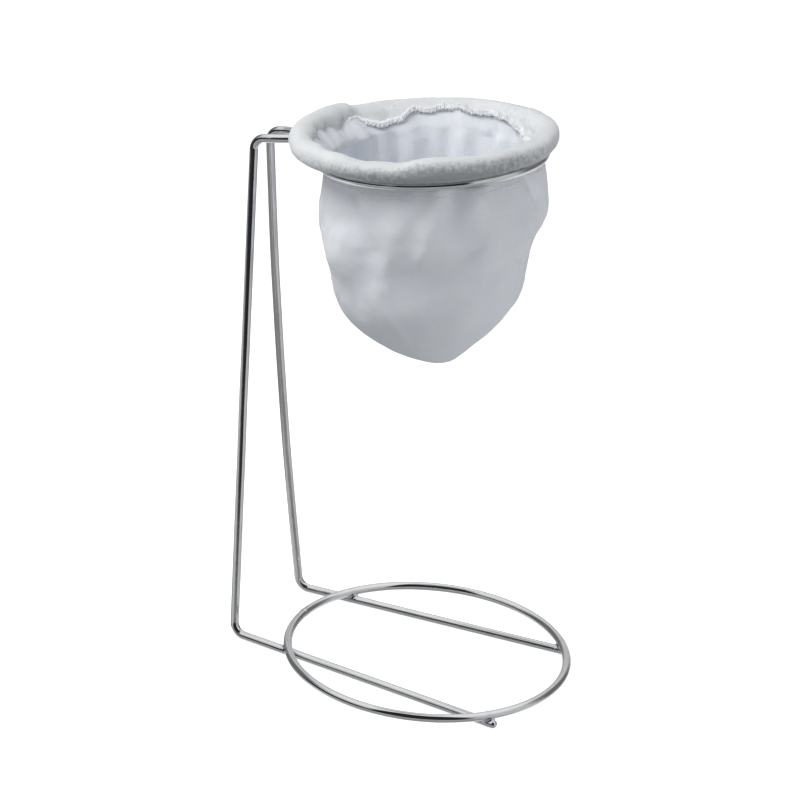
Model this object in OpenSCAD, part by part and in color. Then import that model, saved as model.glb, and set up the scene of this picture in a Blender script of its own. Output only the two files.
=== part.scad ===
// Coffee filter stand: a chromed wire stand with a cloth filter that lifts out of its upper ring.
// Millimetres, +Z up. +X runs from the uprights to the leg tips, and the object is symmetric about
// the XZ plane apart from the legs and uprights, which are bent by hand. The near side is the one
// towards -Y. The origin is on the table, under the middle of the whole object.

/* [Wire] */
// Diameter of the stand's wire
wire_d = 3.4; // [2.8:0.1:4.2]
// Centreline radius of the bends at the foot and the top of each upright
bend_r = 5; // [4.5:0.5:8]
// How far one wire is pressed into the other at a crossing weld
weld_set = 0.25; // [0.1:0.05:0.4]

/* [Base] */
// Centreline diameter of the base ring
base_ring_d = 112; // [104:1:124]
// Distance of the near leg from the middle of the base ring, sideways
leg_near = 31.6; // [28:0.1:36]
// Distance of the far leg from the middle of the base ring, sideways
leg_far = 31.9; // [28:0.1:36]
// How far the near leg swings outwards, for each millimetre that it runs forwards
splay_near = 0.077; // [0:0.001:0.12]
// The same for the far leg
splay_far = 0.092; // [0:0.002:0.12]
// Distance from the middle of the base ring back to the near foot bend
foot_near = 74.1; // [68:0.1:80]
// Distance from the middle of the base ring back to the far foot bend
foot_far = 72.1; // [66:0.1:78]
// Distance from the middle of the base ring to the tip of the longer leg, the near one
tip_long = 46.4; // [46:0.2:52]
// Distance from the middle of the base ring to the tip of the shorter leg
tip_short = 43.4; // [43:0.2:45]

/* [Uprights] */
// Height of the corner where the uprights turn into the arms
top_z = 203.4; // [180:0.2:230]
// Distance from the middle of the base ring back to the top corners
top_back = 87.8; // [82:0.2:94]
// Centreline spacing of the uprights at the top corners
top_spacing = 12.2; // [11.6:0.1:12.8]
// How far the two straights of the near upright miss its corner line, backwards: its slight bow
bow_near = 0.2; // [0.1:0.1:2]
// The same for the far upright, which bows more
bow_far = 2; // [1.7:0.3:2.3]
// How far they miss it towards the other upright
bow_in = 1.9; // [0.2:0.1:2.4]

/* [Arms and nose] */
// Rise of the arms towards the front, in degrees
arm_slope = 10; // [8:0.5:12]
// Length of the parallel part of the arms, from the top corner
arm_run = 7; // [6.5:0.1:7.5]
// Height of the arms' gentle crest above the top corners
arm_crest = 2.4; // [2.2:0.1:2.5]
// Centreline radius of the nose that joins the two arms
nose_r = 2.2; // [2:0.1:2.6]
// Half angle at which the arms close towards the nose, in degrees
nose_taper = 11.63; // [11.3:0.01:12]

/* [Upper ring] */
// Centreline diameter of the upper ring
top_ring_d = 84.8; // [84:0.2:86]
// Height of the middle of the upper ring
top_ring_z = 210.4; // [210.2:0.1:210.5]
// Tilt of the upper ring, up towards the front, in degrees
ring_tilt = 7.5; // [7.3:0.1:7.7]

/* [Filter] */
// Centreline diameter of the rolled rim, which is wider than the ring that it lies on
hem_c = 93.4; // [92.6:0.2:94]
// Thickness of the rolled rim
hem_d = 8.3; // [7.6:0.1:8.4]
// How far the rim's middle lies behind the ring's, because the rim is loose on it
hem_back = 3.4; // [3:0.1:3.8]
// Height of the rim's middle above the ring's plane
hem_lift = 6.85; // [6.8:0.05:7.2]
// How much less the rim tilts than the ring, in degrees: at the back it lies on the arms
hem_level = 0.9; // [0.7:0.1:1.1]
// Wire diameter of the hoop inside the rim
hoop_d = 2.4; // [1.6:0.1:3]
// Thickness of the cloth
cloth_t = 1.2; // [0.8:0.1:1.3]
// Length of the bag below the middle of the upper ring
bag_drop = 82; // [76:1:92]
// Radius of the bag at its neck, where it passes through the ring
neck_r = 39.8; // [39.4:0.1:39.9]
// Depth of the seam allowance inside the bag
seam_w = 5; // [3:0.5:8]
// Direction of the side seam, in degrees from the front of the bag
seam_az = 152; // [100:1:170]
// Number of stitches in the row under the rim
stitches = 72; // [48:4:90]
// Diameter of the sewing thread
thread_d = 0.5; // [0.4:0.05:0.6]

/* [Hidden] */
$fn = 96;

wire_r = wire_d / 2;
ring_r = base_ring_d / 2;
top_r = top_ring_d / 2;
hem_r = hem_d / 2;
hoop_r = hoop_d / 2;
// A wire is a touch fuller where it is bent
bend_swell = 0.04;
// A butt weld stands a little proud of its wire
joint_swell = 0.18;

// The middle of the base ring, forward of the origin
base_x = 15.8;
// Height of the base ring, pressed a little into the legs
base_z = wire_r + wire_d - weld_set;

// Each leg, near (-1) or far (+1): its distance sideways at the middle of the base ring, its splay, and
// its distance sideways x millimetres forward of there
function leg_mid(side) = side < 0 ? leg_near : leg_far;
function leg_out(side) = side < 0 ? splay_near : splay_far;
function leg_y(side, x) = leg_mid(side) + leg_out(side) * x;
// Where a leg crosses under the base ring, at the front (s = 1) or at the back (s = -1)
function cross_x(side, s) = let (a = 1 + leg_out(side) * leg_out(side), b = leg_out(side) * leg_mid(side),
                                 c = leg_mid(side) * leg_mid(side) - ring_r * ring_r)
    (-b + s * sqrt(b * b - a * c)) / a;

// Middle of the upper ring: its back stands against the nose
nose_x = -top_back + arm_run + (top_spacing / 2) / tan(nose_taper) - nose_r / sin(nose_taper) + nose_r;
nose_z = top_ring_z - top_r * sin(ring_tilt);
top_ring_x = nose_x + wire_d - 0.1 + top_r * cos(ring_tilt);

// Distance from the end of the parallel arms to the crest, along X
crest_run = 8.3;
crest_x = -top_back + arm_run + crest_run;
// Corners of the frame wire on the side s (-1 and +1), from the leg tip to the crest of the arm
function corners(s, tip, foot, back, in) = let (fy = leg_y(s, -foot), ty = top_spacing / 2) [
    [tip, s * leg_y(s, tip), wire_r],
    [-foot, s * fy, wire_r],
    [-(foot + top_back) / 2 - back, s * ((fy + ty) / 2 - in), (wire_r + top_z) / 2],
    [-top_back, s * ty, top_z],
    [-top_back + arm_run, s * ty, top_z + arm_run * tan(arm_slope)],
    [crest_x, s * (ty - crest_run * tan(nose_taper)), top_z + arm_crest]
];
// Where the two arms would meet
nose_corner = let (x = -top_back + arm_run + (top_spacing / 2) / tan(nose_taper))
    [x, 0, top_z + arm_crest + (x - crest_x) * (nose_z - top_z - arm_crest) / (nose_x - crest_x)];
near_side = corners(-1, tip_long, foot_near, bow_near, 0.1);
far_side = corners(1, tip_short, foot_far, bow_far, bow_in);
wire_path = concat(near_side, [nose_corner], [for (i = [5:-1:0]) far_side[i]]);
wire_bends = [0, bend_r, 2600, bend_r, 10, 20, nose_r, 20, 10, bend_r, 2600, bend_r, 0];

function unit(v) = v / norm(v);
// Distance from a corner to where its bend starts
function lead(u, v, r) = r * tan(acos(u * v) / 2);

// Straight wire from a to b
module rod(a, b, r) {
    d = b - a;
    translate(a) rotate([0, acos(d[2] / norm(d)), atan2(d[1], d[0])]) cylinder(r = r, h = norm(d));
}

// Bent wire round corner p, from direction u into direction v
module elbow(p, u, v, bend, r) {
    n = unit(v - (u * v) * u);
    w = cross(u, n);
    c = p - lead(u, v, bend) * u + bend * n;
    multmatrix([[-n[0], u[0], w[0], c[0]], [-n[1], u[1], w[1], c[1]], [-n[2], u[2], w[2], c[2]], [0, 0, 0, 1]])
        rotate_extrude(angle = acos(u * v)) translate([bend, 0]) circle(r = r + bend_swell);
}

// One wire through a list of corners, each with its own bend radius; the straights run on into the bends
module bent_wire(path, bends, r) {
    last = len(path) - 1;
    dirs = [for (i = [0:last - 1]) unit(path[i + 1] - path[i])];
    leads = [for (i = [0:last]) (i == 0 || i == last) ? 0 : lead(dirs[i - 1], dirs[i], bends[i]) - 0.3];
    for (i = [0:last - 1]) rod(path[i] + leads[i] * dirs[i], path[i + 1] - leads[i + 1] * dirs[i], r);
    for (i = [1:last - 1]) elbow(path[i], dirs[i - 1], dirs[i], bends[i], r);
}

// The part of a wire end that its chamfer leaves
module tip_cut(p, s) {
    d = unit([1, s * leg_out(s), 0]);
    translate([p[0], s * leg_y(s, p[0]), wire_r]) rotate([0, 90, atan2(d[1], d[0])])
        translate([0, 0, -0.6]) difference() {
            cylinder(r = wire_r + 1, h = 1.6);
            cylinder(r1 = wire_r, r2 = wire_r - 0.6, h = 0.6);
            translate([0, 0, 0.59]) cylinder(r = 0.01, h = 0.01);
        }
}

// Round wire ring in its own plane, between two angles in degrees
module hoop(r, wr, from, to) {
    rotate([0, 0, from]) rotate_extrude(angle = to - from) translate([r, 0]) circle(r = wr);
}

// Moves its children from the base ring's frame into the object's
module on_base() { translate([base_x, 0, 0]) children(); }
// Moves its children from the upper ring's own plane into the object's frame
module on_top_ring() { translate([base_x + top_ring_x, 0, top_ring_z]) rotate([0, -ring_tilt, 0]) children(); }
// Moves its children from the rolled rim's own plane into the upper ring's
module on_hem() { translate([-hem_back, 0, hem_lift]) rotate([0, hem_level, 0]) children(); }

/* The butt welds: 3 degrees of the base ring at the back, 3.6 degrees of the upper ring, and 3 of the hoop. */
base_joint = [178.5, 181.5];
top_joint = [134, 137.6];
hoop_joint = [-60, -57];

// The bend of the nose, drawn on as a whole ring: what stands against it is cut back to it
module nose_bend(r) {
    u = unit(wire_path[6] - wire_path[5]);
    v = unit(wire_path[7] - wire_path[6]);
    n = unit(v - (u * v) * u);
    w = cross(u, n);
    c = wire_path[6] - lead(u, v, nose_r) * u + nose_r * n;
    multmatrix([[-n[0], u[0], w[0], c[0]], [-n[1], u[1], w[1], c[1]], [-n[2], u[2], w[2], c[2]], [0, 0, 0, 1]])
        rotate_extrude() translate([nose_r, 0]) rotate(180) circle(r = r);
}

module leg_wires(r) {
    rod(near_side[0], near_side[1], r);
    rod(far_side[0], far_side[1], r);
}

module frame_wire() {
    color("#c9ccd0") on_base() difference() {
        bent_wire(wire_path, wire_bends, wire_r);
        tip_cut([tip_long, 0, 0], -1);
        tip_cut([tip_short, 0, 0], 1);
    }
}

module base_ring() {
    color("#c9ccd0") on_base() difference() {
        translate([0, 0, base_z]) hoop(ring_r, wire_r, base_joint[1], base_joint[0] + 360);
        leg_wires(wire_r);
    }
}

module base_ring_joint() {
    color("#c9ccd0") on_base() translate([0, 0, base_z])
        hoop(ring_r, wire_r + joint_swell, base_joint[0], base_joint[1]);
}

// Four beads, each a small ball round a crossing less the two wires that it joins
module base_welds() {
    color("#bfc2c6") on_base() for (side = [-1, 1], s = [-1, 1]) difference() {
        translate([cross_x(side, s), side * leg_y(side, cross_x(side, s)), wire_d - weld_set / 2]) sphere(r = 2.3);
        leg_wires(wire_r);
        translate([0, 0, base_z]) rotate_extrude() translate([ring_r, 0]) circle(r = wire_r);
    }
}

module upper_ring() {
    color("#c9ccd0") difference() {
        on_top_ring() hoop(top_r, wire_r, top_joint[1], top_joint[0] + 360);
        on_base() nose_bend(wire_r + bend_swell);
    }
}

module upper_ring_joint() {
    color("#c9ccd0") on_top_ring() hoop(top_r, wire_r + joint_swell, top_joint[0], top_joint[1]);
}

// A bead round the point where the nose stands against the back of the ring
module nose_weld() {
    $fn = 240;
    color("#bfc2c6") difference() {
        on_base() translate([nose_x + wire_r, 0, (nose_z + top_ring_z - top_r * sin(ring_tilt)) / 2]) sphere(r = 2.5);
        on_base() nose_bend(wire_r + bend_swell);
        on_top_ring() rotate_extrude() translate([top_r, 0]) rotate(180) circle(r = wire_r);
    }
}

// Outline of the bag: [share of the drop, share of the neck radius], smoothed through these points. It comes
// down from inside the rolled rim, bends inwards over the ring and hangs through it to a blunt point.
bag_marks = [[-0.078, 1.17], [-0.05, 1.1], [-0.026, 1.042], [-0.008, 1.01], [0.012, 1], [0.1, 1], [0.22, 1],
             [0.34, 1], [0.4, 0.99], [0.455, 0.962], [0.515, 0.93], [0.575, 0.914], [0.63, 0.905], [0.69, 0.867],
             [0.748, 0.788], [0.805, 0.683], [0.863, 0.552], [0.92, 0.372], [0.953, 0.255], [0.983, 0.115], [1, 0]];
// Point t along the smooth curve through marks a, b, c and d, between b and c
function smooth(a, b, c, d, t) = 0.5 * (2 * b + (c - a) * t + (2 * a - 5 * b + 4 * c - d) * t * t
                                        + (3 * b - a - 3 * c + d) * t * t * t);
function mark(i) = i < 0 ? bag_marks[0] : i > len(bag_marks) - 1 ? [2 - bag_marks[len(bag_marks) - 2][0],
                   -bag_marks[len(bag_marks) - 2][1]] : bag_marks[i];
bag_curve = concat([bag_marks[0]],
    [for (i = [1:len(bag_marks) - 2], k = [0:2]) smooth(mark(i - 1), mark(i), mark(i + 1), mark(i + 2), k / 3)]);
// The outline in millimetres, moved inwards by t: [radius, height above the ring's plane]
function bag_side(t) = [for (i = [0:len(bag_curve) - 1])
    let (p = [bag_curve[i][1] * neck_r, -bag_curve[i][0] * bag_drop],
         q = i == 0 ? p : [bag_curve[i - 1][1] * neck_r, -bag_curve[i - 1][0] * bag_drop],
         n = i == len(bag_curve) - 1 ? [0, -bag_drop] : [bag_curve[i + 1][1] * neck_r, -bag_curve[i + 1][0] * bag_drop],
         d = unit(n - q))
    [max(p[0] + t * d[1], 0), p[1] - t * d[0]]];
// The wall between two depths below the outer surface, as a closed outline
function wall(outer, inner) = concat(
    [for (p = bag_side(outer)) p], [[0, -bag_drop + outer * 1.4]],
    [[0, -bag_drop + inner * 1.4]], [for (i = [len(bag_curve) - 1:-1:0]) bag_side(inner)[i]]);
// The same, but only along the side of the bag, from one step of the outline to another
function strip(outer, inner, from, to) = concat(
    [for (i = [from:to]) bag_side(outer)[i]], [for (i = [to:-1:from]) bag_side(inner)[i]]);

module filter_bag() {
    color("#e4e6ee") on_top_ring() difference() {
        rotate_extrude() polygon(wall(0, cloth_t));
        on_hem() rotate_extrude() translate([hem_c / 2, 0]) circle(r = hem_r);
    }
}

module filter_hem() {
    color("#eceef2") on_top_ring() on_hem() rotate_extrude() translate([hem_c / 2, 0]) difference() {
        circle(r = hem_r);
        circle(r = hoop_r);
    }
}

module filter_hoop() {
    color("#a9adb1") on_top_ring() on_hem() hoop(hem_c / 2, hoop_r, hoop_joint[1], hoop_joint[0] + 360);
}

module filter_hoop_joint() {
    color("#a9adb1") on_top_ring() on_hem() hoop(hem_c / 2, hoop_r, hoop_joint[0], hoop_joint[1]);
}

// A row of short stitches on the outside of the bag, just under the ring
module hem_stitching() {
    z = -4.5;
    color("#f2f2f4") on_top_ring() for (i = [0:stitches - 1])
        translate([0, 0, z]) hoop(neck_r + thread_d / 2 + 0.02, thread_d / 2, i * 360 / stitches,
                                  (i + 0.66) * 360 / stitches);
}

// The overlocked cut edge of the rim, inside the mouth
module hem_overlock() {
    color("#f2f2f4") on_top_ring() on_hem() translate([0, 0, 0.3])
        rotate_extrude() translate([hem_c / 2 - hem_r - 1.05, 0]) circle(r = 0.9);
}

module side_seam() {
    color("#e4e6ee") on_top_ring() rotate([0, 0, seam_az - 1.1]) rotate_extrude(angle = 2.2)
        polygon(strip(cloth_t, cloth_t + seam_w, 13, 46));
}

module seam_overlock() {
    color("#f2f2f4") on_top_ring() rotate([0, 0, seam_az - 1.5]) rotate_extrude(angle = 3)
        polygon(strip(cloth_t + seam_w, cloth_t + seam_w + 0.7, 13, 44));
}

frame_wire();
base_ring();
base_ring_joint();
base_welds();
upper_ring();
upper_ring_joint();
nose_weld();
filter_bag();
filter_hem();
filter_hoop();
filter_hoop_joint();
hem_stitching();
hem_overlock();
side_seam();
seam_overlock();
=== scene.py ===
# Coffee filter stand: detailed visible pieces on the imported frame, with floor, light and camera.
# Lengths are in millimetres until a mesh is made.
import math

import bpy
import numpy as np
from mathutils import Matrix, Vector


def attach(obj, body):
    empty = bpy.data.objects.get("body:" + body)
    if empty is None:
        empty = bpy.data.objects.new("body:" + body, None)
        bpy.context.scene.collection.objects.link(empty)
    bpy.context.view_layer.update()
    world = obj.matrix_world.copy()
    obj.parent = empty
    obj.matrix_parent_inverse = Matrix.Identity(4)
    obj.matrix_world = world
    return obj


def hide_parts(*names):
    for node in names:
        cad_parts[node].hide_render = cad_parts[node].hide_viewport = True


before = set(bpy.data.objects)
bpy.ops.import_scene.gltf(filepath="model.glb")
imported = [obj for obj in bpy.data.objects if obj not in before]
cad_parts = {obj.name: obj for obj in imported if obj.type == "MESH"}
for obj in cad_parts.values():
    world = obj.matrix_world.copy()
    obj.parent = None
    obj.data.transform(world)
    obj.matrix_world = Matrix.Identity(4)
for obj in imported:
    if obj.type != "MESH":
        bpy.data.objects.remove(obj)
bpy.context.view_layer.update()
scene = bpy.context.scene
MM = 0.001
TAU = 2 * math.pi


# ---------------------------------------------------------------- numbers of the object
BASE_X = 15.8  # the base's own frame lies this far back
WIRE_R = 1.7
BASE_RING_R, BASE_RING_Z = 56.0, 4.85
RING_O = np.array([1.2622, 0.0, 210.4])
RING_R, RING_TILT = 42.4, math.radians(7.5)
HEM_O = np.array([-3.003, 0.0, 216.748])
HEM_R, HEM_T, HEM_TILT = 46.7, 4.15, math.radians(6.6)
FRAME_CORNERS = [
    (46.4, -35.173, 1.7, 0), (-74.1, -25.894, 1.7, 5), (-81.15, -15.897, 102.55, 2600), (-87.8, -6.1, 203.4, 5),
    (-80.8, -6.1, 204.634, 10), (-72.5, -4.3917, 205.8, 20), (-51.160, 0, 204.221, 2.2), (-72.5, 4.3917, 205.8, 20),
    (-80.8, 6.1, 204.634, 10), (-87.8, 6.1, 203.4, 5), (-81.95, 13.784, 102.55, 2600), (-72.1, 25.267, 1.7, 5),
    (43.4, 35.893, 1.7, 0),
]
# Each leg: side, distance sideways at the middle of the base ring, splay, foot, tip
LEGS = [(-1, 31.6, 0.077, 74.1, 46.4), (1, 31.9, 0.092, 72.1, 43.4)]
SEAM = 152.0  # where the bag's one side seam runs


def tilted(origin, tilt):
    return (origin, np.array([math.cos(tilt), 0, math.sin(tilt)]), np.array([0, 1.0, 0]),
            np.array([-math.sin(tilt), 0, math.cos(tilt)]))


RING = tilted(RING_O, RING_TILT)
HEM = tilted(HEM_O, HEM_TILT)


def at(fr, r, th, z, dx=0.0):
    """Points at radius r, angle th (radians) and height z of a tilted frame."""
    o, ex, ey, n = fr
    r, th, z, dx = np.broadcast_arrays(r, th, z, dx)
    return (o + (r * np.cos(th) + dx)[..., None] * ex + (r * np.sin(th))[..., None] * ey + z[..., None] * n)


# ---------------------------------------------------------------- small tools
def pchip(xs, ys, x):
    """Monotone cubic through the given points."""
    xs, ys, x = np.asarray(xs, float), np.asarray(ys, float), np.asarray(x, float)
    h, d = np.diff(xs), np.diff(ys) / np.diff(xs)
    m = np.zeros_like(xs)
    m[0], m[-1] = d[0], d[-1]
    for i in range(1, len(xs) - 1):
        if d[i - 1] * d[i] > 0:
            a, b = 2 * h[i] + h[i - 1], h[i] + 2 * h[i - 1]
            m[i] = (a + b) / (a / d[i - 1] + b / d[i])
    k = np.clip(np.searchsorted(xs, x) - 1, 0, len(xs) - 2)
    t = np.clip((x - xs[k]) / h[k], 0, 1)
    return ((2 * t**3 - 3 * t**2 + 1) * ys[k] + (t**3 - 2 * t**2 + t) * h[k] * m[k]
            + (3 * t**2 - 2 * t**3) * ys[k + 1] + (t**3 - t**2) * h[k] * m[k + 1])


def around(deg, value, th):
    """A smooth periodic function of the angle th (degrees) through the given values."""
    deg, value = np.asarray(deg, float), np.asarray(value, float)
    k = np.argsort(deg)
    deg, value = deg[k], value[k]
    deg = np.concatenate([deg[-3:] - 360, deg, deg[:3] + 360])
    value = np.concatenate([value[-3:], value, value[:3]])
    return pchip(deg, value, (np.asarray(th, float) + 180) % 360 - 180)


def smooth(x, a, b):
    t = np.clip((np.asarray(x, float) - a) / (b - a), 0, 1)
    return t * t * (3 - 2 * t)


class Noise:
    """Seeded smooth noise over u (periodic, 0 to 1) and v (any), about -1 to 1."""

    def __init__(self, seed, nu, nv=64):
        self.a = np.random.default_rng(seed).uniform(-1, 1, (nu, nv))
        self.nu, self.nv = nu, nv

    def __call__(self, u, v):
        u, v = np.broadcast_arrays(np.asarray(u, float) % 1.0 * self.nu, np.asarray(v, float))
        i, j = np.floor(u).astype(int), np.floor(v).astype(int)
        s, t = u - i, v - j
        s, t = s * s * s * (s * (6 * s - 15) + 10), t * t * t * (t * (6 * t - 15) + 10)
        a = self.a
        g = lambda p, q: a[p % self.nu, q % self.nv]
        return ((g(i, j) * (1 - s) + g(i + 1, j) * s) * (1 - t) + (g(i, j + 1) * (1 - s) + g(i + 1, j + 1) * s) * t)


def build(name, verts, faces, uv, body, material, replaces=(), outward=True):
    """One smooth-shaded piece from vertices in mm and a list of (faces, corner UVs in metres)."""
    verts = np.asarray(verts, float)
    if outward:
        volume = 0.0
        for f in faces:
            f = np.asarray(f)
            for k in range(1, f.shape[1] - 1):
                a, b, c = verts[f[:, 0]], verts[f[:, k]], verts[f[:, k + 1]]
                volume += np.einsum("ij,ij->i", a, np.cross(b, c)).sum()
        if volume < 0:
            faces = [np.asarray(f)[:, ::-1] for f in faces]
            uv = [np.asarray(t)[:, ::-1] for t in uv]
    me = bpy.data.meshes.new(name)
    rows = [r for f in faces for r in np.asarray(f).tolist()]
    me.from_pydata((verts * MM).tolist(), [], rows)
    layer = me.uv_layers.new(name="UVMap")
    layer.data.foreach_set("uv", np.concatenate([np.asarray(t, float).reshape(-1, 2) for t in uv]).ravel())
    me.polygons.foreach_set("use_smooth", [True] * len(me.polygons))
    me.materials.append(material)
    me.update()
    ob = bpy.data.objects.new(name, me)
    scene.collection.objects.link(ob)
    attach(ob, body)
    if replaces:
        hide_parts(*replaces)
    return ob


def grid(nu, nv, close_u, close_v, us, vs, start=0):
    """Quads of an nu × nv grid of vertices, with corner UVs from us and vs, which have one more entry where closed."""
    iu, iv = np.meshgrid(np.arange(nu if close_u else nu - 1), np.arange(nv if close_v else nv - 1), indexing="ij")
    iu, iv = iu.ravel(), iv.ravel()
    ju, jv = iu + 1, iv + 1
    n = lambda a, b: (a % nu) * nv + (b % nv) + start
    quads = np.stack([n(iu, iv), n(ju, iv), n(ju, jv), n(iu, jv)], 1)
    us, vs = np.asarray(us, float), np.asarray(vs, float)
    t = lambda a, b: np.stack([us[a], vs[b]], 1)
    return quads, np.stack([t(iu, iv), t(ju, iv), t(ju, jv), t(iu, jv)], 1)


def filleted(corners, step=2.5):
    """The wire's centreline through the corners, each rounded by its radius."""
    P = [np.array(c[:3], float) for c in corners]
    out = [P[0]]

    def straight(a, b):
        n = max(1, int(np.linalg.norm(b - a) / step))
        out.extend(a + (b - a) * (k / n) for k in range(1, n + 1))

    for i in range(1, len(P) - 1):
        r = corners[i][3]
        a, b = P[i - 1] - P[i], P[i + 1] - P[i]
        a, b = a / np.linalg.norm(a), b / np.linalg.norm(b)
        half = math.acos(np.clip(a @ b, -1, 1)) / 2
        turn = math.pi - 2 * half
        t = r / math.tan(half)
        s, e = P[i] + a * t, P[i] + b * t
        mid = (a + b) / np.linalg.norm(a + b)
        c = P[i] + mid * (r / math.sin(half))
        straight(out[-1], s)
        x, y = (s - c) / r, None
        y = (e - c) / r - x * ((e - c) @ x / r)
        y /= np.linalg.norm(y)
        n = max(4, int(turn * r / step), int(math.degrees(turn) / 5))
        out.extend(c + r * (x * math.cos(turn * k / n) + y * math.sin(turn * k / n)) for k in range(1, n + 1))
    straight(out[-1], P[-1])
    pts = [out[0]]
    for p in out[1:]:
        if np.linalg.norm(p - pts[-1]) > 1e-4:
            pts.append(p)
    return np.array(pts)


def frames(pts, closed=False):
    """Unit vectors across a path that turn as little as they can."""
    n = len(pts)
    if closed:
        tan = np.roll(pts, -1, 0) - np.roll(pts, 1, 0)
    else:
        tan = np.gradient(pts, axis=0)
    tan /= np.linalg.norm(tan, axis=1)[:, None]
    a = np.cross(tan[0], [0, 0, 1.0])
    if np.linalg.norm(a) < 0.1:
        a = np.cross(tan[0], [0, 1.0, 0])
    a /= np.linalg.norm(a)
    A = [a]
    for i in range(1, n):
        a = a - tan[i] * (a @ tan[i])
        a /= np.linalg.norm(a)
        A.append(a)
    A = np.array(A)
    return tan, A, np.cross(tan, A)


def tube(pts, radius, closed=False, seg=28, round_end=0.0, bias=0):
    """Vertices, faces and UVs of a round tube; open ends are closed by a cap whose edge is rounded."""
    pts = np.asarray(pts, float)
    radius = np.broadcast_to(np.asarray(radius, float), (len(pts),)).copy()
    tan, A, B = frames(pts, closed)
    if not closed and round_end:
        e = round_end
        first, last = [], []
        for k in range(6, 0, -1):
            f = math.radians(15 * k)
            first.append((pts[0] + tan[0] * e * (1 - math.sin(f)), radius[0] - e * (1 - math.cos(f))))
        for k in range(1, 7):
            f = math.radians(15 * k)
            last.append((pts[-1] - tan[-1] * e * (1 - math.sin(f)), radius[-1] - e * (1 - math.cos(f))))
        start = pts[0] + tan[0] * e
        stop = pts[-1] - tan[-1] * e
        keep = (np.linalg.norm(pts - pts[0], axis=1) > e + 0.2) & (np.linalg.norm(pts - pts[-1], axis=1) > e + 0.2)
        mid = [(p, r, a, b) for p, r, a, b, k in zip(pts, radius, A, B, keep) if k]
        rows = ([(p, r, A[0], B[0]) for p, r in first] + [(start, radius[0], A[0], B[0])] + mid
                + [(stop, radius[-1], A[-1], B[-1])] + [(p, r, A[-1], B[-1]) for p, r in last])
        pts = np.array([q[0] for q in rows])
        radius = np.array([q[1] for q in rows])
        A, B = np.array([q[2] for q in rows]), np.array([q[3] for q in rows])
    n = len(pts)
    f = np.linspace(0, TAU, seg, endpoint=False)
    V = pts[:, None] + radius[:, None, None] * (A[:, None] * np.cos(f)[None, :, None] + B[:, None] * np.sin(f)[None, :, None])
    d = np.linalg.norm(np.diff(np.vstack([pts, pts[:1]]) if closed else pts, axis=0), axis=1)
    us = np.concatenate([[0], np.cumsum(d)]) * MM
    vs = np.linspace(0, TAU * radius.max() * MM, seg + 1)
    quads, uv = grid(n, seg, closed, True, us, vs)
    V = V.reshape(-1, 3)
    faces, uvs = [quads], [uv]
    if not closed:
        for row, centre, flip in ((0, pts[0], True), (n - 1, pts[-1], False)):
            c = len(V)
            V = np.vstack([V, centre])
            i = np.arange(seg)
            tri = np.stack([row * seg + i, row * seg + (i + 1) % seg, np.full(seg, c)], 1)
            if flip:
                tri = tri[:, ::-1]
            faces.append(tri)
            uvs.append(np.full((seg, 3, 2), us[row]) + np.array([[0, 0], [1e-4, 0], [0, 1e-4]]))
    return V, [q[:, ::-1] for q in faces], [q[:, ::-1] for q in uvs]


def join(parts):
    """Several (verts, faces, uvs) as one."""
    V, F, T, n = [], [], [], 0
    for v, f, t in parts:
        V.append(v)
        F.extend(np.asarray(a) + n for a in f)
        T.extend(t)
        n += len(v)
    return np.vstack(V), F, T


def surface_net(f, lo, hi, h):
    """The closed surface f = 0 inside a box, as quads drawn onto it."""
    ax = [np.arange(lo[i], hi[i] + h, h) for i in range(3)]
    G = np.stack(np.meshgrid(*ax, indexing="ij"), -1)
    v = f(G)
    n = np.array(v.shape) - 1
    total, count = np.zeros(tuple(n) + (3,)), np.zeros(tuple(n))
    part = lambda a, o: a[o[0]:o[0] + n[0], o[1]:o[1] + n[1], o[2]:o[2] + n[2]]
    for a in [(i, j, k) for i in (0, 1) for j in (0, 1) for k in (0, 1)]:
        for k in range(3):
            if a[k]:
                continue
            b = tuple(a[i] + (i == k) for i in range(3))
            va, vb = part(v, a), part(v, b)
            cut = (va < 0) != (vb < 0)
            t = np.where(cut, va / np.where(cut, va - vb, 1), 0)
            p = part(G, a) + t[..., None] * (part(G, b) - part(G, a))
            total += np.where(cut[..., None], p, 0)
            count += cut
    live = count > 0
    index = -np.ones(tuple(n), int)
    index[live] = np.arange(live.sum())
    P = total[live] / count[live][:, None]
    quads = []
    for k in range(3):
        i, j = [(1, 2), (2, 0), (0, 1)][k]
        sa, sb = [slice(None)] * 3, [slice(None)] * 3
        sa[k], sb[k] = slice(0, -1), slice(1, None)
        va, vb = v[tuple(sa)], v[tuple(sb)]
        where = np.argwhere((va < 0) != (vb < 0))
        where = where[(where[:, i] > 0) & (where[:, i] < n[i]) & (where[:, j] > 0) & (where[:, j] < n[j])]
        ei, ej = np.eye(3, dtype=int)[i], np.eye(3, dtype=int)[j]
        q = np.stack([index[tuple((where - ei - ej).T)], index[tuple((where - ej).T)], index[tuple(where.T)],
                      index[tuple((where - ei).T)]], 1)
        flip = va[tuple(where.T)] > 0
        q[flip] = q[flip][:, ::-1]
        quads.append(q)
    Q = np.vstack(quads)
    for _ in range(5):
        e = 0.02
        g = np.stack([(f(P + e * np.eye(3)[k]) - f(P - e * np.eye(3)[k])) / (2 * e) for k in range(3)], -1)
        step = f(P)[:, None] * g / np.maximum((g**2).sum(-1), 0.05)[:, None]
        length = np.linalg.norm(step, axis=1)[:, None]
        P = P - step * np.minimum(1, 0.5 * h / np.maximum(length, 1e-9))
    T = np.stack([P[Q][..., 0] + P[Q][..., 2], P[Q][..., 1] + P[Q][..., 2]], -1) * MM
    return P, [Q], [T]


def smin(a, b, k):
    h = np.clip(0.5 + 0.5 * (b - a) / k, 0, 1)
    return b * (1 - h) + a * h - k * h * (1 - h)


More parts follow.
